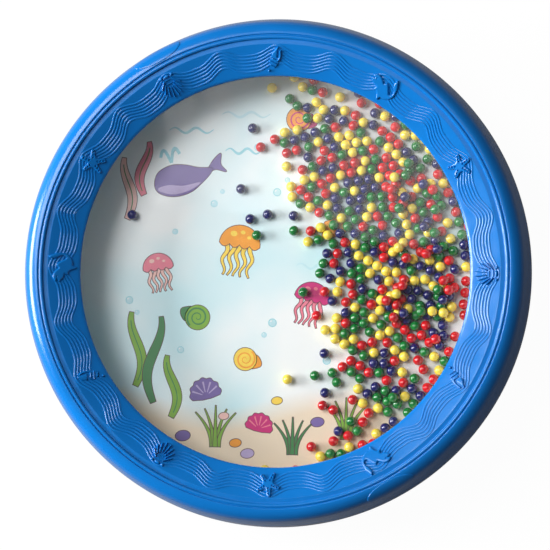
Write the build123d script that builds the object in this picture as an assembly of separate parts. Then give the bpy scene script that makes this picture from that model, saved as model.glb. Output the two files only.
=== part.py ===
from build123d import *
import itertools
import math
import os

import numpy as np

# Ocean drum lying on its back: the clear head faces up, the printed head closes the chamber below,
# and loose balls roll between them. Millimetres, +Z up, origin at the centre of the rest circle.

# Frame: radii are built up from the window outwards
drum_depth = 46.0
window_radius = 94.0
lip_round = 1.2
flange_width = 14.6
land_width = 2.4
ridge_width = 2.0
valley_width = 1.1
crest_width = 0.9
grip_round = 4.5
grip_turn = 70.0
side_bulge = 3.8

# Frame: heights, counted down from the crest or up from the parting plane
land_drop = 1.7
ridge_drop = 0.2
valley_drop = 0.9
recess_depth = 10.4
lip_thickness = 1.9
wall = 2.4

# Seam between the two rims
seam_wall = 4.0
seam_height = 4.0
seam_bevel = 0.4
tongue_width = 1.4
tongue_depth = 2.0
seam_clearance = 0.15

# Seat of the heads and the hoop inside the rims
chamber_ledge = 9.0
hoop_wall = 4.0
clamp_inset = 1.0
skirt_wall = 2.0
skirt_depth = 4.6
lip_width = 2.8
lip_gap = 0.3
seat_clearance = 0.2
head_thickness = 0.5

# Loose balls
ball_diameter = 5.0
ball_gap = 0.12
ball_lift_off = 0.05
floor_cover = 0.28
layout_seed = 11
settle_steps = 800
pairs_kept_steps = 40
core_zone_radius = 33.0
outer_zone_width = 14.5
zone_gap = 0.4

# Where the balls lie: right of a leaning shore line that bows in and curls along the lower wall,
# thinning out towards it
shore_middle = 8.0
shore_lean = 0.28
shore_bow = 10.0
shore_curl = 140.0
shore_fade = 27.0
upper_ball_count = 30
upper_ball_reach = 50.0
pocket_spread = 1.35

# Balls that rolled away from the heap: place as a share of the chamber's radius, and colour
strays = [
    (-0.71, 0.27, "blue"),
    (-0.14, 0.69, "blue"),
    (-0.10, 0.60, "red"),
    (-0.19, 0.40, "blue"),
    (-0.15, 0.27, "blue"),
    (-0.06, 0.28, "blue"),
    (-0.11, 0.18, "green"),
    (0.05, -0.50, "yellow"),
    (0.18, -0.48, "green"),
    (0.28, -0.50, "green"),
    (0.23, -0.56, "blue"),
    (0.22, -0.62, "red"),
    (0.27, -0.64, "red"),
]
colours = ["red", "yellow", "green", "blue"]
colour_shares = [0.27, 0.27, 0.25, 0.21]

# Worked out from the values above
half_depth = drum_depth / 2
flange_outer = window_radius + flange_width
land_outer = flange_outer + land_width
valley_radius = land_outer + ridge_width
crest_inner = valley_radius + valley_width
crest_outer = crest_inner + crest_width
grip_lean = math.radians(grip_turn)
rim_radius = crest_outer + grip_round * math.sin(grip_lean) + side_bulge
head_face = half_depth - recess_depth
lip_foot = head_face + lip_gap
lip_height = lip_foot + lip_thickness
land_height = half_depth - land_drop
grip_height = half_depth - grip_round
chamber_radius = window_radius + chamber_ledge
seat_radius = chamber_radius + hoop_wall
pocket_radius = seat_radius + seat_clearance
skirt_outer = pocket_radius + skirt_wall
chamber_half = head_face - head_thickness
ball_radius = ball_diameter / 2
floor_height = half_depth - chamber_half
ball_height = floor_height + ball_lift_off + ball_radius
ball_count = round(floor_cover * (chamber_radius / ball_radius) ** 2)
outer_zone_edge = chamber_radius - outer_zone_width
zone_edges = {
    "core": (0.0, core_zone_radius),
    "inner": (core_zone_radius, outer_zone_edge),
    "outer": (outer_zone_edge, chamber_radius),
}


def grip_arc(radius):
    """The shoulder of the grip, from the bulging side up to the crest."""
    return CenterArc((crest_outer, grip_height), radius, start_angle=90 - grip_turn, arc_size=grip_turn)


def outer_skin():
    """The face of a rim from the seam over the grip, crest, ridge and flange to the window's lip."""
    flange_inner = window_radius + lip_round
    crest_foot = (valley_radius, half_depth - valley_drop)
    ridge_top = (land_outer + ridge_width / 2, half_depth - ridge_drop)
    ridge_foot = (land_outer, half_depth - valley_drop)
    grip = grip_arc(grip_round)
    return [
        Line((rim_radius - seam_bevel, 0), (rim_radius, seam_bevel)),
        TangentArc(grip @ 0, (rim_radius, seam_bevel), tangent=grip % 0 * -1),
        grip,
        Line((crest_outer, half_depth), (crest_inner, half_depth)),
        TangentArc((crest_inner, half_depth), crest_foot, tangent=(-1, 0)),
        ThreePointArc(crest_foot, ridge_top, ridge_foot),
        Line(ridge_foot, (land_outer, land_height)),
        Line((land_outer, land_height), (flange_outer, land_height)),
        Line((flange_outer, land_height), (flange_inner, lip_height)),
        TangentArc(
            (flange_inner, lip_height),
            (window_radius, lip_height - lip_round),
            tangent=(flange_inner - flange_outer, lip_height - land_height),
        ),
        Line((window_radius, lip_height - lip_round), (window_radius, lip_foot)),
    ]


def inner_skin():
    """The hollow side of a rim: lip foot, clamp face on the head, skirt round the hoop, grip wall."""
    flange_inner = window_radius + lip_round
    slope = (land_height - lip_height) / (flange_outer - flange_inner)
    drop = wall * math.hypot(1, slope)
    lip_back = window_radius + lip_width
    clamp_inner = chamber_radius + clamp_inset
    corners = [
        (window_radius, lip_foot),
        (lip_back, lip_foot),
        (lip_back, max(lip_foot, lip_height + slope * (lip_back - flange_inner) - drop)),
        (clamp_inner, lip_height + slope * (clamp_inner - flange_inner) - drop),
        (clamp_inner, head_face),
        (pocket_radius, head_face),
        (pocket_radius, head_face - skirt_depth),
        (skirt_outer, head_face - skirt_depth),
        (skirt_outer, land_height - wall),
        (crest_inner, half_depth - wall),
        (crest_outer, half_depth - wall),
    ]
    grip = grip_arc(grip_round - wall)
    seam_inner = rim_radius - seam_wall
    side = Polyline(grip @ 0, (seam_inner, seam_height), (seam_inner, 0))
    return [Polyline(*corners), grip, side]


def seam_edge(width, depth):
    """The rim's edge on the parting plane: a tongue for a negative depth, a groove for a positive one."""
    middle = rim_radius - seam_wall / 2
    return Polyline(
        (rim_radius - seam_wall, 0),
        (middle - width / 2, 0),
        (middle - width / 2, depth),
        (middle + width / 2, depth),
        (middle + width / 2, 0),
        (rim_radius - seam_bevel, 0),
    )


def rim(edge):
    """One rim, with its parting plane at z = 0 and its crest upwards."""
    section = make_face(outer_skin() + inner_skin() + [edge])
    return revolve(Plane.XZ * section, Axis.Z)


def front_rim():
    return Pos(Z=half_depth) * rim(seam_edge(tongue_width, -tongue_depth))


def back_rim():
    groove = seam_edge(tongue_width + 2 * seam_clearance, tongue_depth + seam_clearance)
    return Pos(Z=half_depth) * Rot(X=180) * rim(groove)


def chamber_hoop():
    """The chamber's wall, which holds the two heads apart."""
    ring = Circle(seat_radius) - Circle(chamber_radius)
    return Pos(Z=half_depth - chamber_half) * extrude(ring, 2 * chamber_half)


def clear_head():
    return Pos(Z=half_depth + chamber_half) * extrude(Circle(seat_radius), head_thickness)


def printed_head():
    return Pos(Z=half_depth - chamber_half - head_thickness) * extrude(Circle(seat_radius), head_thickness)


def scattered_places(rng):
    """Random places on the printed head, ever closer together to the right of the shore line."""
    places = [(x * chamber_radius, y * chamber_radius) for x, y, colour in strays]
    reach = chamber_radius - ball_radius
    while len(places) < ball_count:
        x, y = rng.uniform(-reach, reach, 2)
        rise = y / chamber_radius
        shore = shore_middle - shore_lean * y + shore_bow * rise**2 - shore_curl * min(rise, 0.0) ** 8
        if math.hypot(x, y) < reach and (x - shore) / shore_fade > rng.uniform():
            places.append((x, y))
    return np.array(places)


def zone_bands(places):
    """For each ball, the name of its zone and the least and greatest radius that keep it inside."""
    names = []
    bands = []
    for x, y in places:
        for name, (inner, outer) in zone_edges.items():
            if inner <= math.hypot(x, y) < outer:
                names.append(name)
                low = inner + ball_radius + zone_gap / 2 if inner else 0.0
                bands.append((low, outer - ball_radius - zone_gap / 2))
    return names, np.array(bands)


def settled(places, bands):
    """Push balls that overlap apart, step by step, each within the band of its zone."""
    spacing = ball_diameter + ball_gap
    for step in range(settle_steps):
        if step % pairs_kept_steps == 0:
            offset = places[:, None] - places[None, :]
            near = np.hypot(offset[..., 0], offset[..., 1]) < 2 * spacing
            first, second = np.nonzero(np.triu(near, 1))
        offset = places[first] - places[second]
        distance = np.maximum(np.hypot(offset[:, 0], offset[:, 1]), ball_gap)
        push = offset * (np.clip(spacing - distance, 0.0, None) / distance / 2)[:, None]
        np.add.at(places, first, push)
        np.subtract.at(places, second, push)
        radius = np.maximum(np.hypot(places[:, 0], places[:, 1]), ball_gap)
        places = places * (np.clip(radius, bands[:, 0], bands[:, 1]) / radius)[:, None]
    return places


def without_overlaps(places, names):
    """Keep each ball that stands clear of those kept before it, with its number."""
    kept = []
    for number, place in enumerate(places):
        clear = ball_diameter + ball_gap / 2
        if all(math.dist(place, places[other]) >= clear for other in kept):
            kept.append(number)
    return [(places[number], names[number], number) for number in kept]


def coloured(balls, rng):
    """Give each ball a colour: a stray its own, and the others of a zone a shuffled share of each."""
    done = []
    for zone in zone_edges:
        members = [ball for ball in balls if ball[1] == zone]
        steps = (np.arange(len(members)) + 0.5) / len(members)
        deck = np.searchsorted(np.cumsum(colour_shares), steps)
        rng.shuffle(deck)
        for (place, name, number), card in zip(members, deck):
            colour = strays[number][2] if number < len(strays) else colours[card]
            done.append(((place[0], place[1], ball_height), zone, colour))
    return done


def upper_balls(floor_balls, rng):
    """Balls that lie on three others of the inner zone, in the pockets of the heap's right side."""
    spacing = ball_diameter + ball_gap
    lying = [ball[0] for ball in floor_balls if ball[1] == "inner" and ball[0][0] > upper_ball_reach]
    low = zone_edges["inner"][0] + ball_radius + zone_gap / 2
    high = zone_edges["inner"][1] - ball_radius - zone_gap / 2
    raised = []
    for first, second, third in itertools.combinations(lying, 3):
        sides = (math.dist(first, second), math.dist(second, third), math.dist(third, first))
        if len(raised) == upper_ball_count or max(sides) > pocket_spread * spacing:
            continue
        centre = np.linalg.solve(
            2 * np.array([np.subtract(second, first)[:2], np.subtract(third, first)[:2]]),
            [
                second[0] ** 2 + second[1] ** 2 - first[0] ** 2 - first[1] ** 2,
                third[0] ** 2 + third[1] ** 2 - first[0] ** 2 - first[1] ** 2,
            ],
        )
        rise = math.sqrt(spacing**2 - math.dist(centre, first[:2]) ** 2)
        place = (centre[0], centre[1], ball_height + rise)
        others = lying + [ball[0] for ball in raised]
        clear = all(math.dist(place, other) > ball_diameter + ball_gap / 2 for other in others)
        if clear and low < math.hypot(*centre) < high:
            raised.append((place, "inner", colours[rng.choice(len(colours), p=colour_shares)]))
    return raised


def loose_balls():
    """All balls as (place, zone, colour)."""
    rng = np.random.default_rng(layout_seed)
    places = scattered_places(rng)
    names, bands = zone_bands(places)
    balls = coloured(without_overlaps(settled(places, bands), names), rng)
    return balls + upper_balls(balls, rng)


def ball_nodes():
    """The balls of each colour in each zone, as separate solids of one node."""
    balls = loose_balls()
    nodes = {}
    for zone, colour in itertools.product(zone_edges, colours):
        group = [place for place, its_zone, its_colour in balls if (its_zone, its_colour) == (zone, colour)]
        spheres = [(Pos(*place) * Sphere(ball_radius)).solid() for place in group]
        nodes[f"{colour}_balls_{zone}"] = Compound(spheres)
    return nodes


nodes = {
    "front_rim": front_rim(),
    "back_rim": back_rim(),
    "chamber_hoop": chamber_hoop(),
    "clear_head": clear_head(),
    "printed_head": printed_head(),
    **ball_nodes(),
}

os.makedirs("parts", exist_ok=True)
for name, shape in nodes.items():
    export_step(shape, f"parts/{name}.step")
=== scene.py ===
import math

import bpy
import numpy as np
from mathutils import Matrix, Vector
from mathutils.geometry import delaunay_2d_cdt


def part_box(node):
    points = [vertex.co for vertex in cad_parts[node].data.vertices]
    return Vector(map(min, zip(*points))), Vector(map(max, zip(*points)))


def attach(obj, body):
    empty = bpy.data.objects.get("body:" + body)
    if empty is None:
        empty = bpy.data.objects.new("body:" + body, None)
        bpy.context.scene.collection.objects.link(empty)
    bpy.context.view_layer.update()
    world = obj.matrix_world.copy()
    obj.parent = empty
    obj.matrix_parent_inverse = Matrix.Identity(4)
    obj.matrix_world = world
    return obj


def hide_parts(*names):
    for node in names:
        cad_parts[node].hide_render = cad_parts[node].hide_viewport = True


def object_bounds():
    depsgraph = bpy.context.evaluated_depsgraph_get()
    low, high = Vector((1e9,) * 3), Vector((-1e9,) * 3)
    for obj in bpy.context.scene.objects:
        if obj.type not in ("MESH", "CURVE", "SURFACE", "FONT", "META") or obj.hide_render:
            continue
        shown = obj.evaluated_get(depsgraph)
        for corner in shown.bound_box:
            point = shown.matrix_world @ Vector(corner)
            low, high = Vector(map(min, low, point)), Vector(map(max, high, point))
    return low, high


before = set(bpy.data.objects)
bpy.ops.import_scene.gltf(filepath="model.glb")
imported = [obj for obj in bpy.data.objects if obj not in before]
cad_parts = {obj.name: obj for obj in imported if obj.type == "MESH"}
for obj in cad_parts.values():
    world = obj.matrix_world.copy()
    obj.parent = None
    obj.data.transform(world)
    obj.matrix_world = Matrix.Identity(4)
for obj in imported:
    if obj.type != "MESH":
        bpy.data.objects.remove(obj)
cad_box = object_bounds()

# Ocean drum lying on its back: both rims, the carving of the front one, the print under the balls and
# every finish. Shapes are drawn in millimetres and become metres when a mesh is made.
MM = 0.001

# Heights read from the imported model
crest_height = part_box("front_rim")[1].z / MM
print_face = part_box("printed_head")[1].z / MM

# Flange of the front rim, a cone between the window's lip and the land
flange_inner = 95.2
flange_outer = 108.6
flange_foot = crest_height - 8.2
flange_top = crest_height - 1.7
flange_rise = (flange_top - flange_foot) / (flange_outer - flange_inner)
flange_slope = math.atan(flange_rise)

# Rim section in its order: corners as (radius, height above the parting plane), and arcs as (radius,
# height, size, start and end in degrees, steps)
parting_height = crest_height / 2
seam_corner = (122.63, 0.0)
side_arc = (59.46, -1.71, 63.6, 1.9, 18.6, 14)
shoulder_arc = (113.58, 16.5, 6.5, 18.6, 90.0, 20)
crest_arc = (113.58, 22.66, 0.34, 90.0, 172.0, 7)
valley_foot = (113.1, 22.36)
ridge_arc = (112.0, 21.736, 1.064, 35.0, 160.0, 12)
land_corners = [(111.0, 21.3), (flange_outer, 21.3)]
lip_arc = (96.33, 12.47, 2.59, 115.9, 154.1, 6)
clamp_corners = [(94.0, 12.9), (96.8, 12.9), (104.0, 16.4), (104.0, 12.6)]
skirt_corners = [(107.2, 12.6), (107.2, 8.0), (109.2, 8.0), (109.2, 18.9), (114.1, 20.6)]
inner_shoulder_arc = (115.0, 18.5, 2.1, 90.0, 20.0, 5)
inner_seam_corners = [(119.03, 4.0), (119.03, 0.0)]
tongue_corners = [(120.33, 0.0), (120.33, -2.0), (121.73, -2.0), (121.73, 0.0)]
groove_corners = [(120.18, 0.0), (120.18, 2.15), (121.88, 2.15), (121.88, 0.0)]

# How sections become rings: corners past the sharp turn are rounded, and edges past the crisp one show
sharp_turn = math.radians(14)
edge_rounding = 0.3
section_step = 1.4
lathe_steps = 360
crisp_edge = math.radians(40)

# Wave ribs on the flange
rib_lines = 6
rib_waves = 24
rib_first_line = 105.7
rib_spacing = 1.5
rib_rise = 1.96
rib_second_wave = 0.2
rib_radius = 0.8
rib_sunk = 0.55
rib_points = 1152
rib_sides = 10

# Sea motifs on the flange: three copies of each, a twelfth of a turn from one kind to the next
motif_radius = 102.2
motif_copies = 3
motif_height = 1.1
motif_base = 0.4
motif_rounding = 0.75
motif_sink = 0.3
carve_step = 0.34
rounding_shares = (0.1, 0.35, 0.65, 1.0)
pit_shares = (1.0, 0.7, 0.4)
pit_margin = 1.15
motif_angles = {"prawn": 90.0, "dolphin": 60.0, "star": 30.0, "shell": 0.0}

# Bare oval plates on the grip
plate_angles = [119.4, -60.2]
plate_half_length = 12.6
plate_half_width = 5.6
plate_middle = 5.9
plate_height = 0.3
plate_rounding = 0.22
plate_edge_steps = 3
plate_rings = 10
plate_points = 72

# Print under the balls: ink areas in thin layers on the printed head
ink_step = 0.006
ink_order_step = 0.0007
ink_sunk = 0.05
ink_line = 0.35

# Span in which most values of a noise lie, and the roughness of a clear coat
noise_span = (0.3, 0.7)
coat_roughness = 0.05

# Sand on the printed head, in metres: the height of its edge, its waves, and how softly it ends
sand_line = -0.066
sand_rise = 0.006
sand_waves = 52.0
sand_blend = 0.006

# Clear film: the share it mirrors straight on, how that grows with the slant, and its slack in metres
film_gleam = 0.04
film_slant_power = 5.0
film_roughness = (0.025, 0.06)
film_slack = 0.0005

# View: where the photograph was taken from
sensor_width = 36.0
camera_distance = 1300.0
view_width = 266.5
camera_lean_right = 6.3
camera_lean_down = 2.8
camera_roll = 1.2
view_middle = (-0.9, -1.2, 23.0)

# Lamps: compass angle and height angle in degrees, distance and size in metres, watts
lamps = {
    "window_light": (178.0, 21.0, 1.3, (0.6, 0.55), 31.0),
    "high_window_light": (150.0, 58.0, 1.3, (0.6, 0.6), 11.5),
    "ceiling_card": (83.0, 75.7, 1.65, (0.65, 0.6), 1.2),
}

# Backdrop: the floor's size and height in metres, what rays see of its glow, and the world's strength
floor_half = 12.0
floor_height = cad_box[0][2]
floor_paper = (0.3, 0.3, 0.3, 1.0)
floor_glow = 1.08
floor_seen = 0.9
mirrored_share = 0.06
world_colour = (0.92, 0.96, 1.0, 1.0)
world_seen = 0.92
world_fill = 0.07


def srgb(red, green, blue):
    """A colour given as 0 to 255 display values, in linear light."""
    channels = [value / 255 for value in (red, green, blue)]
    linear = [c / 12.92 if c <= 0.04045 else ((c + 0.055) / 1.055) ** 2.4 for c in channels]
    return (*linear, 1.0)


def even_steps(count):
    """Shares from 0 to 1 in that many steps."""
    return [step / count for step in range(count + 1)]


ball_colours = {
    "red": srgb(210, 10, 26),
    "yellow": srgb(255, 228, 84),
    "green": srgb(6, 120, 48),
    "blue": srgb(24, 26, 98),
}
water_tones = [(0.36, srgb(206, 240, 246)), (0.62, srgb(248, 252, 252))]
ink_colours = {
    "outline": srgb(92, 62, 70),
    "orange": srgb(244, 160, 52),
    "yellow": srgb(250, 214, 84),
    "pink": srgb(236, 130, 150),
    "blush": srgb(243, 198, 190),
    "magenta": srgb(206, 44, 122),
    "violet": srgb(122, 104, 168),
    "lilac": srgb(186, 170, 212),
    "green": srgb(128, 176, 62),
    "leaf": srgb(66, 132, 78),
    "aqua": srgb(150, 214, 226),
    "sky": srgb(196, 232, 240),
    "white": srgb(248, 250, 250),
    "sand": srgb(240, 222, 196),
}


# Node trees


class Graph:
    """A node tree under construction: each call adds a node and links or sets its inputs."""

    def __init__(self, tree):
        self.tree = tree

    def feed(self, socket, value):
        if isinstance(value, bpy.types.NodeSocket):
            self.tree.links.new(value, socket)
        else:
            socket.default_value = value

    def add(self, kind, inputs=None, **settings):
        node = self.tree.nodes.new(kind)
        for name, value in settings.items():
            setattr(node, name, value)
        for name, value in (inputs or {}).items():
            self.feed(node.inputs[name], value)
        return node

    def math(self, operation, first, second=0.0):
        node = self.add("ShaderNodeMath", {0: first, 1: second}, operation=operation)
        return node.outputs[0]


def blank_material(name):
    """A node material that has no node yet, and its graph."""
    material = bpy.data.materials.new(name)
    material.use_nodes = True
    material.node_tree.nodes.clear()
    return material, Graph(material.node_tree)


def new_material(name):
    """A node material, its graph, and its Principled shader already linked to the output."""
    material, graph = blank_material(name)
    shader = graph.add("ShaderNodeBsdfPrincipled")
    graph.add("ShaderNodeOutputMaterial", {"Surface": shader.outputs[0]})
    return material, graph, shader


def object_noise(graph, scale, detail=2.0):
    """Noise over the object's own coordinates, with that many grains in a metre."""
    place = graph.add("ShaderNodeTexCoord").outputs["Object"]
    noise = graph.add("ShaderNodeTexNoise", {"Vector": place, "Scale": scale, "Detail": detail})
    return noise.outputs["Fac"]


def ranged(graph, value, low, high):
    """A noise value spread from its usual span to low and high."""
    usual = {"From Min": noise_span[0], "From Max": noise_span[1]}
    spread = {"Value": value, **usual, "To Min": low, "To Max": high}
    return graph.add("ShaderNodeMapRange", spread).outputs["Result"]


def bump(graph, height, depth):
    """A surface relief of that depth in metres."""
    return graph.add("ShaderNodeBump", {"Height": height, "Distance": depth}).outputs["Normal"]


# Finishes


def moulded_plastic(
    name, colour, tint_scale, tint_spread, roughness, grain_scale, grain_depth, coat=0.0, specular=0.5
):
    """Glossy coloured plastic: soft drifts in tint, patches of wear in the gloss, a fine grain."""
    material, graph, shader = new_material(name)
    drift = object_noise(graph, tint_scale)
    value = ranged(graph, drift, 1.0 - tint_spread, 1.0 + tint_spread)
    tinted = graph.add("ShaderNodeHueSaturation", {"Value": value, "Color": colour})
    wear = ranged(graph, object_noise(graph, 4 * tint_scale, 4.0), *roughness)
    grain = bump(graph, object_noise(graph, grain_scale), grain_depth)
    graph.feed(shader.inputs["Base Color"], tinted.outputs[0])
    graph.feed(shader.inputs["Roughness"], wear)
    graph.feed(shader.inputs["Normal"], grain)
    shader.inputs["Specular IOR Level"].default_value = specular
    shader.inputs["Coat Weight"].default_value = coat
    shader.inputs["Coat Roughness"].default_value = coat_roughness
    return material


def printed_sheet():
    """White film with a pale sea: aqua drifts over white, and a sandy floor along the lower edge."""
    material, graph, shader = new_material("printed_sheet")
    place = graph.add("ShaderNodeTexCoord").outputs["Object"]
    split = graph.add("ShaderNodeSeparateXYZ", {"Vector": place}).outputs
    water = graph.add("ShaderNodeValToRGB", {"Fac": object_noise(graph, 14.0, 3.0)})
    for stop, (position, colour) in zip(water.color_ramp.elements, water_tones):
        stop.position = position
        stop.color = colour
    hill = graph.math("SINE", graph.math("MULTIPLY", split["X"], sand_waves))
    edge = graph.math("ADD", graph.math("MULTIPLY", hill, sand_rise), sand_line)
    depth = graph.math("SUBTRACT", edge, split["Y"])
    blend = {"Value": depth, "From Min": -sand_blend, "From Max": sand_blend}
    shore = graph.add("ShaderNodeMapRange", blend).outputs["Result"]
    tones = {"Factor": shore, 6: water.outputs["Color"], 7: ink_colours["sand"]}
    sea = graph.add("ShaderNodeMix", tones, data_type="RGBA")
    graph.feed(shader.inputs["Base Color"], sea.outputs[2])
    graph.feed(shader.inputs["Roughness"], ranged(graph, object_noise(graph, 300.0), 0.35, 0.5))
    return material


def printing_ink():
    """Ink of the colour that each face carries, with the slight unevenness of a screen print."""
    material, graph, shader = new_material("printing_ink")
    colour = graph.add("ShaderNodeAttribute", attribute_name="ink").outputs["Color"]
    value = ranged(graph, object_noise(graph, 220.0, 4.0), 0.94, 1.06)
    printed = graph.add("ShaderNodeHueSaturation", {"Value": value, "Color": colour})
    graph.feed(shader.inputs["Base Color"], printed.outputs[0])
    graph.feed(shader.inputs["Roughness"], ranged(graph, object_noise(graph, 500.0), 0.32, 0.45))
    return material


def clear_sheet():
    """Thin clear film, a little slack, with a mirror sheen that grows towards a slanting view."""
    material, graph, shader = new_material("clear_sheet")
    shader.inputs["Base Color"].default_value = (1.0, 1.0, 1.0, 1.0)
    shader.inputs["Metallic"].default_value = 1.0
    haze = ranged(graph, object_noise(graph, 60.0, 4.0), *film_roughness)
    graph.feed(shader.inputs["Roughness"], haze)
    graph.feed(shader.inputs["Normal"], bump(graph, object_noise(graph, 22.0, 1.0), film_slack))
    slant = graph.add("ShaderNodeLayerWeight", {"Blend": 0.5}).outputs["Facing"]
    rise = graph.math("MULTIPLY", graph.math("POWER", slant, film_slant_power), 1.0 - film_gleam)
    gleam = graph.math("ADD", rise, film_gleam)
    clear = graph.add("ShaderNodeBsdfTransparent")
    film = graph.add("ShaderNodeMixShader", {0: gleam, 1: clear.outputs[0], 2: shader.outputs[0]})
    graph.feed(material.node_tree.nodes["Material Output"].inputs["Surface"], film.outputs[0])
    return material


rim_plastic = moulded_plastic(
    "rim_plastic", srgb(8, 107, 184), tint_scale=28.0, tint_spread=0.05,
    roughness=(0.16, 0.24), grain_scale=1800.0, grain_depth=0.00001, specular=0.4,
)
hoop_plastic = moulded_plastic(
    "hoop_plastic", srgb(236, 238, 238), tint_scale=30.0, tint_spread=0.03,
    roughness=(0.4, 0.5), grain_scale=1500.0, grain_depth=0.00001,
)
ball_plastics = {
    colour: moulded_plastic(
        f"{colour}_ball", tone, tint_scale=95.0, tint_spread=0.16,
        roughness=(0.08, 0.14), grain_scale=2600.0, grain_depth=0.000004, coat=0.8,
    )
    for colour, tone in ball_colours.items()
}
ink = printing_ink()


def dress_cad_nodes():
    """Give every node its finish, the rims too, which smoother rings replace."""
    finishes = {
        "front_rim": rim_plastic,
        "back_rim": rim_plastic,
        "chamber_hoop": hoop_plastic,
        "clear_head": clear_sheet(),
        "printed_head": printed_sheet(),
    }
    for name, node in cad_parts.items():
        finish = finishes.get(name) or ball_plastics[name.split("_")[0]]
        for slot in node.material_slots:
            slot.material = finish


# Meshes


def new_object(name, data):
    """An object in the scene for a mesh, a lamp or a camera."""
    holder = bpy.data.objects.new(name, data)
    bpy.context.scene.collection.objects.link(holder)
    return holder


def new_mesh(name, points, edges, faces):
    """A mesh of millimetre points."""
    mesh = bpy.data.meshes.new(name)
    mesh.from_pydata([Vector(point) * MM for point in points], edges, faces)
    return mesh


def drum_piece(piece):
    """A piece with its crisp edges marked, which rides on the drum."""
    piece.data.set_sharp_from_angle(angle=crisp_edge)
    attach(piece, "drum")
    return piece


def mesh_piece(name, points, faces, material):
    """A piece of the drum made of millimetre points, smooth but for its crisp edges."""
    mesh = new_mesh(name, points, [], faces)
    mesh.shade_smooth()
    mesh.materials.append(material)
    return drum_piece(new_object(name, mesh))


def joined(solids):
    """Several (points, faces) solids as one."""
    points = []
    faces = []
    for its_points, its_faces in solids:
        first = len(points)
        points += its_points
        faces += [tuple(first + corner for corner in face) for face in its_faces]
    return points, faces


def inset(outline, distance):
    """A counter-clockwise outline moved inwards, each corner along its mitre."""
    moved = []
    for number, corner in enumerate(outline):
        here = Vector(corner)
        arriving = (here - Vector(outline[number - 1])).normalized()
        leaving = (Vector(outline[(number + 1) % len(outline)]) - here).normalized()
        inwards = Vector((-arriving.y - leaving.y, arriving.x + leaving.x)).normalized()
        mitre = max(inwards.dot(Vector((-arriving.y, arriving.x))), 0.4)
        moved.append(tuple(here + inwards * (distance / mitre)))
    return moved


def stacked(rings):
    """A closed solid through rings of as many points each, from its foot to its top."""
    count = len(rings[0])
    points = [point for ring in rings for point in ring]
    faces = [tuple(range(count - 1, -1, -1))]
    for level in range(len(rings) - 1):
        low = level * count
        for corner in range(count):
            after = (corner + 1) % count
            faces.append((low + corner, low + after, low + count + after, low + count + corner))
    faces.append(tuple(range(len(points) - count, len(points))))
    return points, faces


def edge_gaps(points, outline):
    """The distance of each point from the nearest side of an outline."""
    start = np.array(outline)
    side = np.roll(start, -1, 0) - start
    away = points[:, None] - start
    share = np.clip((away * side).sum(2) / (side**2).sum(1), 0.0, 1.0)
    return np.linalg.norm(away - share[..., None] * side, axis=2).min(1)


def inside(points, outline):
    """Which of the points lie within an outline."""
    x0, y0 = np.array(outline).T
    x1, y1 = np.roll(x0, -1), np.roll(y0, -1)
    x, y = points[:, :1], points[:, 1:]
    spans = (y0 > y) != (y1 > y)
    left = x < x0 + (y - y0) * (x1 - x0) / np.where(y1 == y0, 1.0, y1 - y0)
    return (spans & left).sum(1) % 2 == 1


def carved(outline, height=motif_height, rounding=motif_rounding, pits=()):
    """A relief with that outline: an upright foot, an edge rounded to a level top, and round pits."""
    low = np.min(outline, 0)
    high = np.max(outline, 0)
    grid = np.mgrid[low[0] : high[0] : carve_step, low[1] : high[1] : carve_step].reshape(2, -1).T
    grid = grid[inside(grid, outline)]
    within = [grid[edge_gaps(grid, outline) > rounding + carve_step / 2]]
    for x, y, size, _ in pits:
        within[0] = within[0][np.hypot(*(within[0] - (x, y)).T) > pit_margin * size]
        for share in pit_shares:
            within.append(np.array(ellipse(x, y, size * share, size * share, count=14)))
        within.append(np.array([(x, y)]))
    for share in rounding_shares:
        ring = np.array(inset(outline, share * rounding))
        clear = inside(ring, outline) & (edge_gaps(ring, outline) > 0.95 * share * rounding)
        within.append(ring[clear])
    count = len(outline)
    sides = [(number, (number + 1) % count) for number in range(count)]
    flat = [Vector(point) for point in np.concatenate([np.array(outline), *within])]
    corners, _, faces, sources, *_ = delaunay_2d_cdt(flat, sides, [], 1, 1e-4)
    spots = np.array(corners)
    reach = np.clip(edge_gaps(spots, outline) / rounding, 0.0, 1.0)
    levels = height - rounding + rounding * np.sqrt(1.0 - (1.0 - reach) ** 2)
    for x, y, size, depth in pits:
        near = np.clip(np.hypot(*(spots - (x, y)).T) / size, 0.0, 1.0)
        levels -= depth * (1.0 - near**2)
    edge = {old: new for new, olds in enumerate(sources) for old in olds}
    points = [(x, y, level) for (x, y), level in zip(corners, levels)]
    foot = len(points)
    points += [(x, y, -motif_sink) for x, y in outline]
    faces = list(faces) + [tuple(range(foot + count - 1, foot - 1, -1))]
    for here, after in sides:
        faces.append((foot + here, foot + after, edge[after], edge[here]))
    return points, faces


def ellipse(x, y, half_length, half_width, turn=0.0, count=28):
    """An ellipse whose length is turned that many degrees."""
    cosine = math.cos(math.radians(turn))
    sine = math.sin(math.radians(turn))
    outline = []
    for number in range(count):
        angle = 2 * math.pi * number / count
        along = half_length * math.cos(angle)
        across = half_width * math.sin(angle)
        outline.append((x + along * cosine - across * sine, y + along * sine + across * cosine))
    return outline


def ribbon(line, widths):
    """A strip along a line of points, as wide at each as given."""
    left = []
    right = []
    for number, (x, y) in enumerate(line):
        x0, y0 = line[max(number - 1, 0)]
        x1, y1 = line[min(number + 1, len(line) - 1)]
        length = math.hypot(x1 - x0, y1 - y0)
        across = widths[number] / 2 / length
        left.append((x - (y1 - y0) * across, y + (x1 - x0) * across))
        right.append((x + (y1 - y0) * across, y - (x1 - x0) * across))
    return right + left[::-1]


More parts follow.
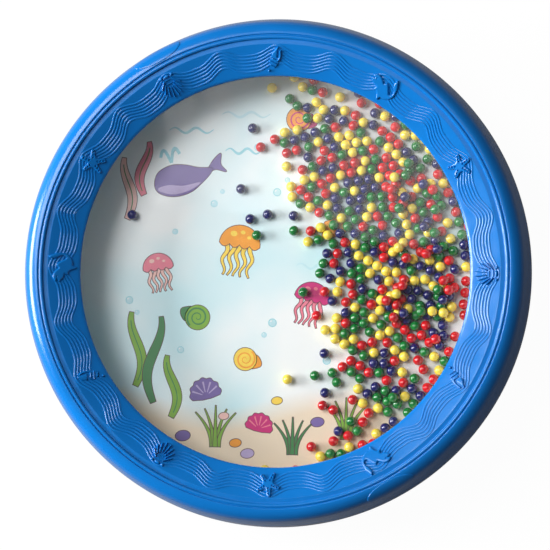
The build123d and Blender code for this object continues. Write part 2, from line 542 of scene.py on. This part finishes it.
def smooth(corners, steps=6, closed=True):
    """A curve through a few corners, closed or open."""
    count = len(corners)
    curve = []
    for number in range(count if closed else count - 1):
        around = [number - 1, number, number + 1, number + 2]
        if not closed:
            around = [min(max(place, 0), count - 1) for place in around]
        before, here, after, beyond = (Vector(corners[place % count]) for place in around)
        for step in range(steps):
            t = step / steps
            bend = (2 * before - 5 * here + 4 * after - beyond) * t * t
            swing = (3 * here - before - 3 * after + beyond) * t**3
            curve.append(tuple(here + ((after - before) * t + bend + swing) / 2))
    return curve if closed else curve + [tuple(corners[-1])]


def placed(outline, x, y, scale=1.0, turn=0.0):
    """An outline scaled, turned by degrees and moved."""
    cosine = scale * math.cos(math.radians(turn))
    sine = scale * math.sin(math.radians(turn))
    return [(x + u * cosine - v * sine, y + u * sine + v * cosine) for u, v in outline]


# Carving of the front rim


def on_flange(along, out, up):
    """A point drawn flat (clockwise along the rim, outwards, up) laid on the flange at the +X side."""
    foot = motif_radius + out * math.cos(flange_slope)
    radius = foot - up * math.sin(flange_slope)
    height = flange_foot + (foot - flange_inner) * flange_rise + up * math.cos(flange_slope)
    angle = -along / motif_radius
    return (radius * math.cos(angle), radius * math.sin(angle), height)


def capsule(x0, y0, x1, y1, width0, width1):
    """A bar with round ends, as wide at each end as given."""
    turn = math.atan2(y1 - y0, x1 - x0)
    ends = ((x1, y1, width1, turn - math.pi / 2), (x0, y0, width0, turn + math.pi / 2))
    outline = []
    for x, y, width, start in ends:
        for step in range(7):
            angle = start + math.pi * step / 6
            outline.append((x + width / 2 * math.cos(angle), y + width / 2 * math.sin(angle)))
    return outline


def bead(x, y, half_length, half_width):
    """A small rounded bead."""
    return carved(ellipse(x, y, half_length, half_width, count=18), motif_height, 0.85 * half_width)


def shell_motif():
    """A fan shell that opens towards the window: eight ribs, two bars across its hinge, three beads."""
    ribs = [
        (0.55, -0.4, 1.2, -5.6), (1.65, 0.3, 3.1, -4.3), (2.3, 1.5, 4.6, -2.3), (2.0, 3.4, 5.0, 0.3),
    ]
    ribs += [(-x, y, -end_x, end_y) for x, y, end_x, end_y in ribs]
    base = [
        (-1.6, 4.0), (-3.4, 2.6), (-4.9, -0.9), (-4.1, -2.9), (-2.8, -4.8), (-1.3, -5.8), (0.0, -6.0),
    ]
    base += [(-x, y) for x, y in base[-2::-1]]
    solids = [carved(smooth(base, 4), 0.5 * motif_base, 0.12)]
    solids += [carved(capsule(*rib, 0.42, 0.62), 1.35 * motif_height, 0.4) for rib in ribs]
    solids.append(carved(capsule(-1.1, 1.3, 1.1, 1.3, 0.5, 0.5)))
    solids.append(carved(capsule(-1.3, 3.4, 1.3, 3.4, 0.5, 0.5)))
    beads = [(0.0, 5.1, 1.3, 0.7), (-2.7, 5.2, 0.72, 0.72), (2.7, 5.2, 0.72, 0.72)]
    return joined(solids + [bead(*place) for place in beads])


def star_motif():
    """A starfish with one arm outwards and a row of pits along each arm."""
    arms = [(33.0, 6.2), (96.0, 6.5), (158.4, 5.9), (246.4, 6.7), (308.5, 6.6)]
    corners = []
    pits = []
    for number, (angle, length) in enumerate(arms):
        turn = math.radians(angle)
        along = Vector((math.cos(turn), math.sin(turn)))
        across = Vector((-math.sin(turn), math.cos(turn)))
        for reach, side in ((0.7, -1.15), (0.94, -0.8), (1.0, 0.0), (0.94, 0.8), (0.7, 1.15)):
            corners.append(tuple(along * reach * length + across * side))
        beyond = arms[(number + 1) % len(arms)][0]
        notch = math.radians(angle + ((beyond - angle) % 360) / 2)
        corners.append((2.75 * math.cos(notch), 2.75 * math.sin(notch)))
        pits += [(*(along * length * share), 0.6, 0.75) for share in (0.34, 0.56, 0.78)]
    return carved(smooth(corners, 4), pits=pits)


def prawn_motif():
    """A prawn from above: a drop of a head outwards, a hooked band, two body bars and a tail bead."""
    head = [
        (0.5, 5.7), (-1.3, 4.0), (-2.4, 2.5), (-2.45, 1.5), (-1.4, 0.85), (-0.3, 0.2), (0.2, 1.1),
        (0.4, 3.3), (0.65, 5.0),
    ]
    hook = [
        (1.5, 4.1), (1.5, 1.5), (1.1, -0.2), (0.45, -1.1), (-0.4, -1.35), (-1.4, -0.8), (-2.6, -0.2),
    ]
    base = [
        (0.9, 5.2), (-1.7, 3.3), (-3.0, 0.4), (-3.6, -2.0), (-3.2, -3.7), (-1.3, -4.5), (0.1, -3.4),
        (1.5, -0.4), (1.8, 3.8),
    ]
    line = smooth(hook, 4, closed=False)
    return joined(
        [
            carved(smooth(base, 4), motif_base, 0.12),
            carved(smooth(head, 4)),
            carved(ribbon(line, [1.0] * len(line)), rounding=0.5),
            carved(capsule(-3.5, -1.6, -0.2, -3.3, 0.95, 0.95)),
            carved(capsule(-3.3, -3.5, -1.4, -4.6, 0.85, 0.85)),
            bead(-4.3, -6.3, 0.6, 0.6),
        ]
    )


def dolphin_motif():
    """A leaping dolphin: beak and eye to the left, fins towards the window, fluke out on the right."""
    body = [
        (-6.9, 1.7), (-6.0, 0.5), (-4.6, -0.6), (-3.2, -1.0), (-3.8, -2.9), (-2.4, -3.0), (-1.3, -4.4),
        (-0.5, -6.7), (0.5, -6.9), (1.0, -5.2), (2.4, -5.2), (4.0, -4.7), (5.4, -3.8), (6.5, -2.4),
        (7.0, -0.8), (6.9, 1.0), (6.7, 3.0), (6.0, 5.0), (5.1, 6.9), (4.2, 6.3), (4.0, 4.4), (4.7, 2.4),
        (5.6, 0.8), (5.6, -0.7), (4.5, -1.5), (3.7, -0.5), (2.8, 1.2), (1.9, 2.5), (0.9, 3.1),
        (-0.2, 2.0), (-1.6, 3.5), (-2.9, 4.5), (-4.4, 4.9), (-5.7, 4.5), (-6.5, 3.8), (-6.2, 3.0),
        (-5.3, 2.75), (-6.2, 2.4),
    ]
    return carved(smooth(body, 3), pits=[(-4.3, 2.75, 0.5, 0.45)])


# Rims, ribs and plates


def arc(radius, height, size, start, end, steps):
    """Points on an arc of the section, turning from start to end."""
    turns = [math.radians(start + (end - start) * step / steps) for step in range(steps + 1)]
    return [(radius + size * math.cos(turn), height + size * math.sin(turn)) for turn in turns]


def softened(outline):
    """A closed section with each sharp corner rounded a little and long straight runs divided."""
    soft = []
    for number, corner in enumerate(outline):
        here = Vector(corner)
        arriving = here - Vector(outline[number - 1])
        leaving = Vector(outline[(number + 1) % len(outline)]) - here
        turn = abs(arriving.angle_signed(leaving))
        if turn > sharp_turn:
            shortest = 0.4 * min(arriving.length, leaving.length)
            cut = min(edge_rounding * math.tan(turn / 2), shortest)
            first = here - arriving.normalized() * cut
            last = here + leaving.normalized() * cut
            for t in even_steps(4):
                soft.append((first * (1 - t) + here * t) * (1 - t) + (here * (1 - t) + last * t) * t)
        else:
            soft.append(here)
    divided = []
    for number, here in enumerate(soft):
        after = soft[(number + 1) % len(soft)]
        parts = math.ceil((after - here).length / section_step)
        divided += [tuple(here.lerp(after, part / parts)) for part in range(parts)]
    return divided


def rim_section(seam):
    """A rim cut through: up the grip from the seam, over crest, ridge, land and flange, back inside."""
    outline = [seam_corner] + arc(*side_arc) + arc(*shoulder_arc)[1:] + arc(*crest_arc)[1:]
    outline += [valley_foot] + arc(*ridge_arc) + land_corners + arc(*lip_arc)
    outline += clamp_corners + skirt_corners + arc(*inner_shoulder_arc)
    return outline + inner_seam_corners + seam


def group_tree(name, inputs):
    """An empty geometry node group with named inputs and one geometry output."""
    tree = bpy.data.node_groups.new(name, "GeometryNodeTree")
    tree.interface.new_socket("Geometry", in_out="OUTPUT", socket_type="NodeSocketGeometry")
    for label, kind in inputs.items():
        tree.interface.new_socket(label, in_out="INPUT", socket_type=f"NodeSocket{kind}")
    graph = Graph(tree)
    given = graph.add("NodeGroupInput").outputs
    return tree, graph, given


def close_tree(graph, geometry, material):
    """End a group: real geometry, smooth faces and one material."""
    real = graph.add("GeometryNodeRealizeInstances", {"Geometry": geometry})
    soft = graph.add("GeometryNodeSetShadeSmooth", {"Geometry": real.outputs[0]})
    finish = {"Geometry": soft.outputs[0], "Material": material}
    dressed = graph.add("GeometryNodeSetMaterial", finish)
    graph.add("NodeGroupOutput", {"Geometry": dressed.outputs[0]})


def run_tree(name, tree, values):
    """The group's result as a plain mesh piece of the drum."""
    holder = new_object(name, bpy.data.meshes.new(name))
    modifier = holder.modifiers.new("shape", "NODES")
    modifier.node_group = tree
    for socket in tree.interface.items_tree:
        if socket.in_out == "INPUT":
            modifier[socket.identifier] = values[socket.name]
    evaluated = holder.evaluated_get(bpy.context.evaluated_depsgraph_get())
    mesh = bpy.data.meshes.new_from_object(evaluated)
    holder.modifiers.remove(modifier)
    holder.data = mesh
    mesh.name = name
    return drum_piece(holder)


def lathe_tree():
    """A section swept round the drum's axis."""
    inputs = {"Section": "Object", "Steps": "Int", "Radius": "Float", "Finish": "Material"}
    tree, graph, given = group_tree("rim_lathe", inputs)
    section = graph.add("GeometryNodeObjectInfo", {"Object": given["Section"]}).outputs["Geometry"]
    outline = graph.add("GeometryNodeMeshToCurve", {"Mesh": section}).outputs[0]
    path = {"Resolution": given["Steps"], "Radius": given["Radius"]}
    circle = graph.add("GeometryNodeCurvePrimitiveCircle", path).outputs[0]
    ring = graph.add("GeometryNodeCurveToMesh", {"Curve": circle, "Profile Curve": outline})
    close_tree(graph, ring.outputs[0], given["Finish"])
    return tree


def add_rims():
    """Both rims as smooth rings: the front one with the seam's tongue, the back one with its groove."""
    tree = lathe_tree()
    rims = (("front_rim", tongue_corners, 1), ("back_rim", groove_corners, -1))
    for name, seam, upwards in rims:
        outline = softened(rim_section(seam))
        outline = [(radius, parting_height + upwards * height) for radius, height in outline]
        points = [(radius - flange_inner, -height, 0.0) for radius, height in outline[::-upwards]]
        sides = [(number, (number + 1) % len(points)) for number in range(len(points))]
        section = new_object(f"{name}_section", new_mesh(f"{name}_section", points, sides, []))
        values = {
            "Section": section,
            "Steps": lathe_steps,
            "Radius": flange_inner * MM,
            "Finish": rim_plastic,
        }
        ring = run_tree(f"{name}_moulding", tree, values)
        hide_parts(name)
        bpy.data.objects.remove(section)


def ring_of_copies_tree():
    """Copies of one motif spread evenly round the drum's axis."""
    inputs = {"Motif": "Object", "Copies": "Int", "Start": "Float", "Finish": "Material"}
    tree, graph, given = group_tree("ring_of_copies", inputs)
    motif = graph.add("GeometryNodeObjectInfo", {"Object": given["Motif"]}).outputs["Geometry"]
    places = graph.add("GeometryNodePoints", {"Count": given["Copies"]}).outputs[0]
    step = graph.math("DIVIDE", 2 * math.pi, given["Copies"])
    turn = graph.math("MULTIPLY", step, graph.add("GeometryNodeInputIndex").outputs[0])
    angle = graph.math("ADD", turn, given["Start"])
    rotation = graph.add("ShaderNodeCombineXYZ", {"Z": angle}).outputs[0]
    spread = {"Points": places, "Instance": motif, "Rotation": rotation}
    copies = graph.add("GeometryNodeInstanceOnPoints", spread)
    close_tree(graph, copies.outputs[0], given["Finish"])
    return tree


def add_motifs():
    """The twelve sea motifs, one piece for each kind."""
    tree = ring_of_copies_tree()
    shapes = {"prawn": prawn_motif, "dolphin": dolphin_motif, "star": star_motif, "shell": shell_motif}
    for kind, shape in shapes.items():
        points, faces = shape()
        laid = [on_flange(*point) for point in points]
        pattern = new_object(f"{kind}_pattern", new_mesh(f"{kind}_pattern", laid, [], faces))
        values = {
            "Motif": pattern,
            "Copies": motif_copies,
            "Start": math.radians(motif_angles[kind]),
            "Finish": rim_plastic,
        }
        run_tree(f"{kind}_motifs", tree, values)
        bpy.data.objects.remove(pattern)


def wave_ribs_tree():
    """Wavy ribs round the flange, which run in under the motifs."""
    counts = ["Lines", "Waves", "Points", "Sides"]
    sizes = ["First Line", "Spacing", "Rise", "Second Wave", "Rib Radius", "Sunk"]
    sizes += ["Flange Inner", "Flange Foot", "Flange Rise"]
    inputs = {label: "Int" for label in counts} | {label: "Float" for label in sizes}
    tree, graph, given = group_tree("wave_ribs", inputs | {"Finish": "Material"})
    circle = graph.add("GeometryNodeCurvePrimitiveCircle", {"Resolution": given["Points"]}).outputs[0]
    repeated = {"Geometry": circle, "Amount": given["Lines"]}
    lines = graph.add("GeometryNodeDuplicateElements", repeated, domain="SPLINE").outputs
    position = graph.add("GeometryNodeInputPosition").outputs[0]
    around = graph.add("ShaderNodeSeparateXYZ", {"Vector": position}).outputs
    angle = graph.math("ARCTAN2", around["Y"], around["X"])
    swell = graph.math("MULTIPLY", angle, given["Waves"])
    ripple = graph.math("COSINE", graph.math("MULTIPLY", swell, 2.0))
    second = graph.math("MULTIPLY", ripple, given["Second Wave"])
    wave = graph.math("MULTIPLY", graph.math("ADD", graph.math("COSINE", swell), second), given["Rise"])
    step = graph.math("MULTIPLY", lines["Duplicate Index"], given["Spacing"])
    radius = graph.math("ADD", graph.math("SUBTRACT", given["First Line"], step), wave)
    reach = graph.math("SUBTRACT", radius, given["Flange Inner"])
    climb = graph.math("MULTIPLY", reach, given["Flange Rise"])
    height = graph.math("SUBTRACT", graph.math("ADD", given["Flange Foot"], climb), given["Sunk"])
    x = graph.math("MULTIPLY", radius, graph.math("COSINE", angle))
    y = graph.math("MULTIPLY", radius, graph.math("SINE", angle))
    place = graph.add("ShaderNodeCombineXYZ", {"X": x, "Y": y, "Z": height}).outputs[0]
    moved = {"Geometry": lines["Geometry"], "Position": place}
    laid = graph.add("GeometryNodeSetPosition", moved).outputs[0]
    rounded = {"Resolution": given["Sides"], "Radius": given["Rib Radius"]}
    section = graph.add("GeometryNodeCurvePrimitiveCircle", rounded).outputs[0]
    ribs = graph.add("GeometryNodeCurveToMesh", {"Curve": laid, "Profile Curve": section})
    close_tree(graph, ribs.outputs[0], given["Finish"])
    return tree


def add_wave_ribs():
    values = {
        "Lines": rib_lines,
        "Waves": rib_waves,
        "Points": rib_points,
        "Sides": rib_sides,
        "First Line": rib_first_line * MM,
        "Spacing": rib_spacing * MM,
        "Rise": rib_rise * MM,
        "Second Wave": rib_second_wave,
        "Rib Radius": rib_radius * MM,
        "Sunk": rib_sunk * MM,
        "Flange Inner": flange_inner * MM,
        "Flange Foot": flange_foot * MM,
        "Flange Rise": flange_rise,
        "Finish": rim_plastic,
    }
    run_tree("wave_ribs", wave_ribs_tree(), values)


def on_grip(angle, along, down, up):
    """A point on the grip: that far along the rim from an angle, and from the crest down its side."""
    radius, height, size, low, high, _ = shoulder_arc
    lean = high - math.degrees(down / size)
    if lean > low:
        place = arc(radius, height, size + up, lean, lean, 1)[0]
    else:
        lean = low - math.degrees((down - math.radians(high - low) * size) / side_arc[2])
        place = arc(side_arc[0], side_arc[1], side_arc[2] + up, lean, lean, 1)[0]
    turn = math.radians(angle) - along / place[0]
    return (place[0] * math.cos(turn), place[0] * math.sin(turn), parting_height + place[1])


def bare_plate(angle):
    """A raised oval field that follows the grip, with a rounded edge."""
    levels = [(1.0, -motif_sink)]
    for step in range(plate_edge_steps + 1):
        turn = math.pi / 2 * step / plate_edge_steps
        edge = 1.0 - plate_rounding * (1 - math.cos(turn)) / plate_half_width
        levels.append((edge, plate_height - plate_rounding * (1 - math.sin(turn))))
    last = levels[-1][0]
    levels += [(last * (1 - ring / plate_rings), plate_height) for ring in range(1, plate_rings)]
    rings = []
    for share, level in levels:
        sizes = (plate_half_length * share, plate_half_width * share)
        outline = ellipse(0.0, 0.0, *sizes, count=plate_points)
        rings.append([on_grip(angle, x, plate_middle - y, level) for x, y in outline])
    return stacked(rings)


def add_bare_plates():
    points, faces = joined([bare_plate(angle) for angle in plate_angles])
    mesh_piece("bare_plates", points, faces, rim_plastic)


# Print on the back head: each motif is a list of (outline, ink, layer)


def outlined(outline, colour, layer=0):
    """An ink area with a dark line round it."""
    return [(inset(outline, -ink_line), "outline", layer), (outline, colour, layer + 1)]


def jellyfish(x, y, width, turn, bell, glow):
    """A domed bell with a scalloped hem and five trailing arms."""
    half = width / 2
    dome = [(math.cos(math.pi * k / 18), 0.95 * math.sin(math.pi * k / 18)) for k in range(19)]
    hem = [(-1 + 2 * k / 32, -0.16 * abs(math.sin(4 * math.pi * k / 32))) for k in range(1, 32)]
    areas = []
    for number in range(5):
        start = -0.64 + 0.32 * number
        line = [(start + 0.1 * math.sin(9 * t + number), -0.05 - 1.5 * t) for t in even_steps(16)]
        arm = ribbon(line, [0.2 - 0.009 * k for k in range(17)])
        areas += outlined(placed(arm, x, y, half, turn), glow, 2 * (number % 2))
    areas += outlined(placed(dome + hem, x, y, half, turn), bell, 4)
    for spot, height, size in ((-0.36, 0.5, 0.17), (0.08, 0.62, 0.12), (0.42, 0.4, 0.1)):
        areas.append((placed(ellipse(spot, height, size, 0.8 * size), x, y, half, turn), glow, 6))
    return areas


def whale(x, y, length, turn):
    """A plain whale with a pale belly and a double spout."""
    body = [
        (0.36, 0.09), (0.18, 0.13), (-0.02, 0.21), (-0.22, 0.24), (-0.42, 0.17), (-0.5, 0.0),
        (-0.44, -0.13), (-0.24, -0.21), (0.0, -0.19), (0.2, -0.08), (0.33, 0.02),
    ]
    fluke = [
        (0.3, 0.04), (0.42, 0.06), (0.56, 0.0), (0.5, 0.12), (0.53, 0.27), (0.41, 0.2), (0.32, 0.1),
    ]
    belly = [
        (-0.46, -0.05), (-0.42, -0.11), (-0.24, -0.18), (0.0, -0.16), (0.16, -0.08), (-0.1, -0.08),
        (-0.3, -0.03),
    ]
    areas = outlined(placed(smooth(fluke), x, y, length, turn), "violet")
    areas += outlined(placed(smooth(body), x, y, length, turn), "violet", 1)
    areas.append((placed(smooth(belly), x, y, length, turn), "lilac", 3))
    for layer, side in ((1, -1), (2, 1)):
        line = [(-0.2 + side * 0.14 * t, 0.28 + 0.2 * math.sin(2.6 * t)) for t in even_steps(10)]
        areas.append((placed(ribbon(line, [0.045] * 11), x, y, length, turn), "aqua", layer))
    return areas


def clam(x, y, width, turn, colour, rib_colour):
    """A closed fan shell with five flutes."""
    half = width / 2
    fan = []
    for step in range(41):
        angle = math.radians(-15 + 210 * step / 40)
        reach = 1 + 0.05 * math.cos(12 * angle)
        fan.append((reach * math.cos(angle), -0.45 + reach * math.sin(angle)))
    areas = outlined(placed(fan + [(-0.3, -0.8), (0.3, -0.8)], x, y, half, turn), colour)
    for angle in (30, 60, 90, 120, 150):
        tip = math.radians(angle)
        line = [(r * math.cos(tip), -0.6 + r * math.sin(tip)) for r in (0.25, 0.6, 0.95)]
        areas.append((placed(ribbon(line, [0.05, 0.09, 0.12]), x, y, half, turn), rib_colour, 2))
    return areas


def snail_shell(x, y, width, turn, colour, band):
    """A round shell with a spiral band."""
    half = width / 2
    mouth = smooth([(0.2, -0.85), (1.15, -0.95), (1.3, -0.4), (0.95, 0.1)])
    turns = [2 * math.pi * 2.1 * k / 48 for k in range(49)]
    line = [((0.08 + 0.062 * a) * math.cos(a), (0.08 + 0.062 * a) * math.sin(a)) for a in turns]
    spiral = ribbon(line, [0.05 + 0.0024 * k for k in range(49)])
    areas = outlined(placed(mouth, x, y, half, turn), band)
    areas += outlined(placed(ellipse(0, 0, 1, 1), x, y, half, turn), colour, 1)
    areas.append((placed(spiral, x, y, half, turn), band, 3))
    return areas


def kelp(x, y, height, sway, colour, layer=0):
    """A tall ribbon leaf that sways from side to side."""
    line = [(x + sway * math.sin(5.2 * t), y + height * t) for t in even_steps(28)]
    widths = [4.6 * (0.35 + 0.65 * math.sin(math.pi * (0.12 + 0.84 * k / 28))) for k in range(29)]
    vein = ribbon(line[2:-3], [0.5] * 24)
    return outlined(ribbon(line, widths), colour, layer) + [(vein, "leaf", layer + 2)]


def grass_tuft(x, y, height, colour):
    """Five blades that fan out from one root."""
    widths = [2.0 * (1 - 0.085 * k) for k in range(11)]
    areas = []
    for number in range(5):
        lean = -0.5 + 0.25 * number
        tall = height * (1 - 0.35 * abs(lean))
        line = [(x + lean * (3.2 + tall * t * t), y + tall * t) for t in even_steps(10)]
        areas += outlined(ribbon(line, widths), colour, 2 * (number % 3))
    return areas


def bubble(x, y, radius):
    """A pale ring with a glint."""
    rim = ellipse(x, y, radius, radius)
    core = ellipse(x, y, 0.8 * radius, 0.8 * radius)
    glint = ellipse(x - 0.35 * radius, y + 0.35 * radius, 0.26 * radius, 0.16 * radius, 40)
    return [(rim, "aqua", 0), (core, "sky", 1), (glint, "white", 2)]


def swell_line(x, y, length, colour):
    """A short wavy stroke."""
    line = [(x + length * t, y + 1.3 * math.sin(13 * t)) for t in even_steps(30)]
    widths = [1.3 * math.sin(math.pi * (0.08 + 0.84 * k / 30)) for k in range(31)]
    return [(ribbon(line, widths), colour, 0)]


def pebble(x, y, size, colour):
    """A flat oval stone."""
    return outlined(ellipse(x, y, size, 0.68 * size, 8.0), colour)


def ink_piece(name, areas, order):
    """Ink areas as thin plates on the printed head, coloured face by face; no two pieces lie level."""
    solids = []
    tones = []
    for outline, colour, layer in areas:
        levels = (print_face - ink_sunk, print_face + ink_step * (layer + 1) + ink_order_step * order)
        solid = stacked([[(x, y, level) for x, y in outline] for level in levels])
        solids.append(solid)
        tones += [ink_colours[colour]] * len(solid[1])
    points, faces = joined(solids)
    piece = mesh_piece(name, points, faces, ink)
    corners = piece.data.attributes.new("ink", "FLOAT_COLOR", "CORNER")
    shades = [value for face, tone in zip(faces, tones) for value in tone * len(face)]
    corners.data.foreach_set("color", shades)


def add_print():
    """A generic sea floor: drifting jellyfish over kelp, grass, shells and pebbles."""
    pebbles = [
        (-46.0, -80.0, 3.6, "violet"), (-20.0, -83.0, 2.8, "orange"), (-14.0, -88.0, 3.2, "lilac"),
        (0.0, -62.0, 2.6, "yellow"), (20.0, -72.0, 3.2, "violet"), (-26.0, -70.0, 2.4, "blush"),
    ]
    bubbles = [
        (-74.0, -14.0, 1.9), (-70.0, -20.0, 1.2), (-33.0, 34.0, 1.7), (-29.0, 40.0, 1.1),
        (-2.0, 40.0, 2.0), (3.0, 46.0, 1.3), (-3.0, -24.0, 2.1), (-7.0, -30.0, 1.3),
        (-48.0, -38.0, 1.7), (-52.0, 20.0, 1.4), (-12.0, 62.0, 1.8), (20.0, 66.0, 1.6),
        (24.0, -42.0, 2.0), (46.0, 6.0, 2.2), (56.0, -30.0, 1.8),
    ]
    pieces = {
        "print_whale": [whale(-46.0, 46.0, 34.0, 12.0)],
        "print_jellyfish": [
            jellyfish(-20.0, 14.0, 20.0, -8.0, "orange", "yellow"),
            jellyfish(-60.0, 2.0, 15.0, 10.0, "pink", "blush"),
            jellyfish(16.0, -12.0, 17.0, -14.0, "magenta", "pink"),
            jellyfish(38.0, 52.0, 17.0, 8.0, "pink", "blush"),
        ],
        "print_kelp": [
            kelp(-70.0, -56.0, 36.0, 3.0, "green"),
            kelp(-61.0, -64.0, 42.0, -3.4, "leaf", 3),
            kelp(-52.0, -71.0, 30.0, 2.8, "green"),
            kelp(-76.0, 26.0, 30.0, 2.4, "blush"),
            kelp(-68.0, 38.0, 26.0, -2.4, "pink"),
        ],
        "print_grass": [
            grass_tuft(-30.0, -85.0, 20.0, "green"),
            grass_tuft(8.0, -88.0, 18.0, "leaf"),
            grass_tuft(34.0, -80.0, 20.0, "green"),
        ],
        "print_shells": [
            clam(-36.0, -56.0, 15.0, 14.0, "violet", "lilac"),
            clam(-8.0, -72.0, 13.0, -12.0, "magenta", "pink"),
            clam(26.0, 24.0, 13.0, 20.0, "orange", "yellow"),
            snail_shell(-16.0, -42.0, 11.0, 15.0, "yellow", "orange"),
            snail_shell(-40.0, -22.0, 12.0, 190.0, "green", "leaf"),
            snail_shell(8.0, 76.0, 12.0, 20.0, "orange", "magenta"),
        ],
        "print_pebbles": [pebble(*stone) for stone in pebbles],
        "print_bubbles": [bubble(*place) for place in bubbles],
        "print_swell": [
            swell_line(-56.0, 70.0, 22.0, "aqua"),
            swell_line(-30.0, 78.0, 24.0, "sky"),
            swell_line(-28.0, 60.0, 18.0, "aqua"),
            swell_line(8.0, 4.0, 20.0, "sky"),
        ],
    }
    for order, (name, motifs) in enumerate(pieces.items()):
        ink_piece(name, sum(motifs, []), order)


# Stage


def glow_share(graph, camera_share):
    """How much of a backdrop's glow a ray sees: that share for the camera, a little when mirrored."""
    ray = graph.add("ShaderNodeLightPath").outputs
    mirrored = graph.math("MAXIMUM", ray["Is Glossy Ray"], ray["Is Transmission Ray"])
    seen = graph.math("MULTIPLY", ray["Is Camera Ray"], camera_share)
    return graph.math("ADD", seen, graph.math("MULTIPLY", mirrored, mirrored_share))


def paint_floor():
    """White to the camera with a trace of the drum's shadow; mirrors and light meet grey paper."""
    material, graph = blank_material("studio_floor")
    share = glow_share(graph, floor_seen)
    paper = graph.add("ShaderNodeBsdfDiffuse", {"Color": floor_paper})
    glow = graph.add("ShaderNodeEmission", {"Color": (1.0, 1.0, 1.0, 1.0), "Strength": floor_glow})
    mixed = graph.add("ShaderNodeMixShader", {0: share, 1: paper.outputs[0], 2: glow.outputs[0]})
    graph.add("ShaderNodeOutputMaterial", {"Surface": mixed.outputs[0]})
    return material


def add_floor():
    mesh = bpy.data.meshes.new("studio_floor")
    corners = [(-1, -1), (1, -1), (1, 1), (-1, 1)]
    points = [(x * floor_half, y * floor_half, floor_height) for x, y in corners]
    mesh.from_pydata(points, [], [(0, 1, 2, 3)])
    mesh.materials.append(paint_floor())
    floor = new_object("studio_floor", mesh)


def soft_box(name, azimuth, elevation, distance, size, watts):
    """A rectangular lamp that faces the drum from a compass angle and a height angle, in metres."""
    lamp = bpy.data.lights.new(name, "AREA")
    lamp.shape = "RECTANGLE"
    lamp.size, lamp.size_y = size
    lamp.energy = watts
    turn = math.radians(azimuth)
    climb = math.radians(elevation)
    level = math.cos(climb)
    direction = Vector((math.cos(turn) * level, math.sin(turn) * level, math.sin(climb)))
    holder = new_object(name, lamp)
    holder.location = direction * distance
    holder.rotation_euler = direction.to_track_quat("Z", "Y").to_euler()


def add_lights():
    """The lamps, and a world that is white to the camera and a faint fill to the drum."""
    for name, place in lamps.items():
        soft_box(name, *place)
    world = bpy.data.worlds.new("studio")
    world.use_nodes = True
    graph = Graph(world.node_tree)
    seen = graph.math("MULTIPLY", glow_share(graph, 1.0), world_seen)
    background = world.node_tree.nodes["Background"]
    background.inputs["Color"].default_value = world_colour
    graph.feed(background.inputs["Strength"], graph.math("ADD", seen, world_fill))
    bpy.context.scene.world = world
    bpy.context.scene.view_settings.view_transform = "Standard"


def add_camera():
    """The photograph's view: from above, a little to the right and below, turned by its roll."""
    data = bpy.data.cameras.new("studio_camera")
    data.sensor_width = sensor_width
    data.lens = sensor_width * camera_distance / view_width
    right = math.tan(math.radians(camera_lean_right))
    down = math.tan(math.radians(camera_lean_down))
    back = Vector((right, -down, 1.0)).normalized()
    roll = math.radians(camera_roll)
    side = Vector((-math.sin(roll), math.cos(roll), 0.0)).cross(back).normalized()
    turned = Matrix((side, back.cross(side), back)).transposed().to_4x4()
    turned.translation = (Vector(view_middle) + back * camera_distance) * MM
    camera = new_object("studio_camera", data)
    camera.matrix_world = turned
    bpy.context.scene.camera = camera


dress_cad_nodes()
add_rims()
add_wave_ribs()
add_motifs()
add_bare_plates()
add_print()
add_floor()
add_lights()
add_camera()
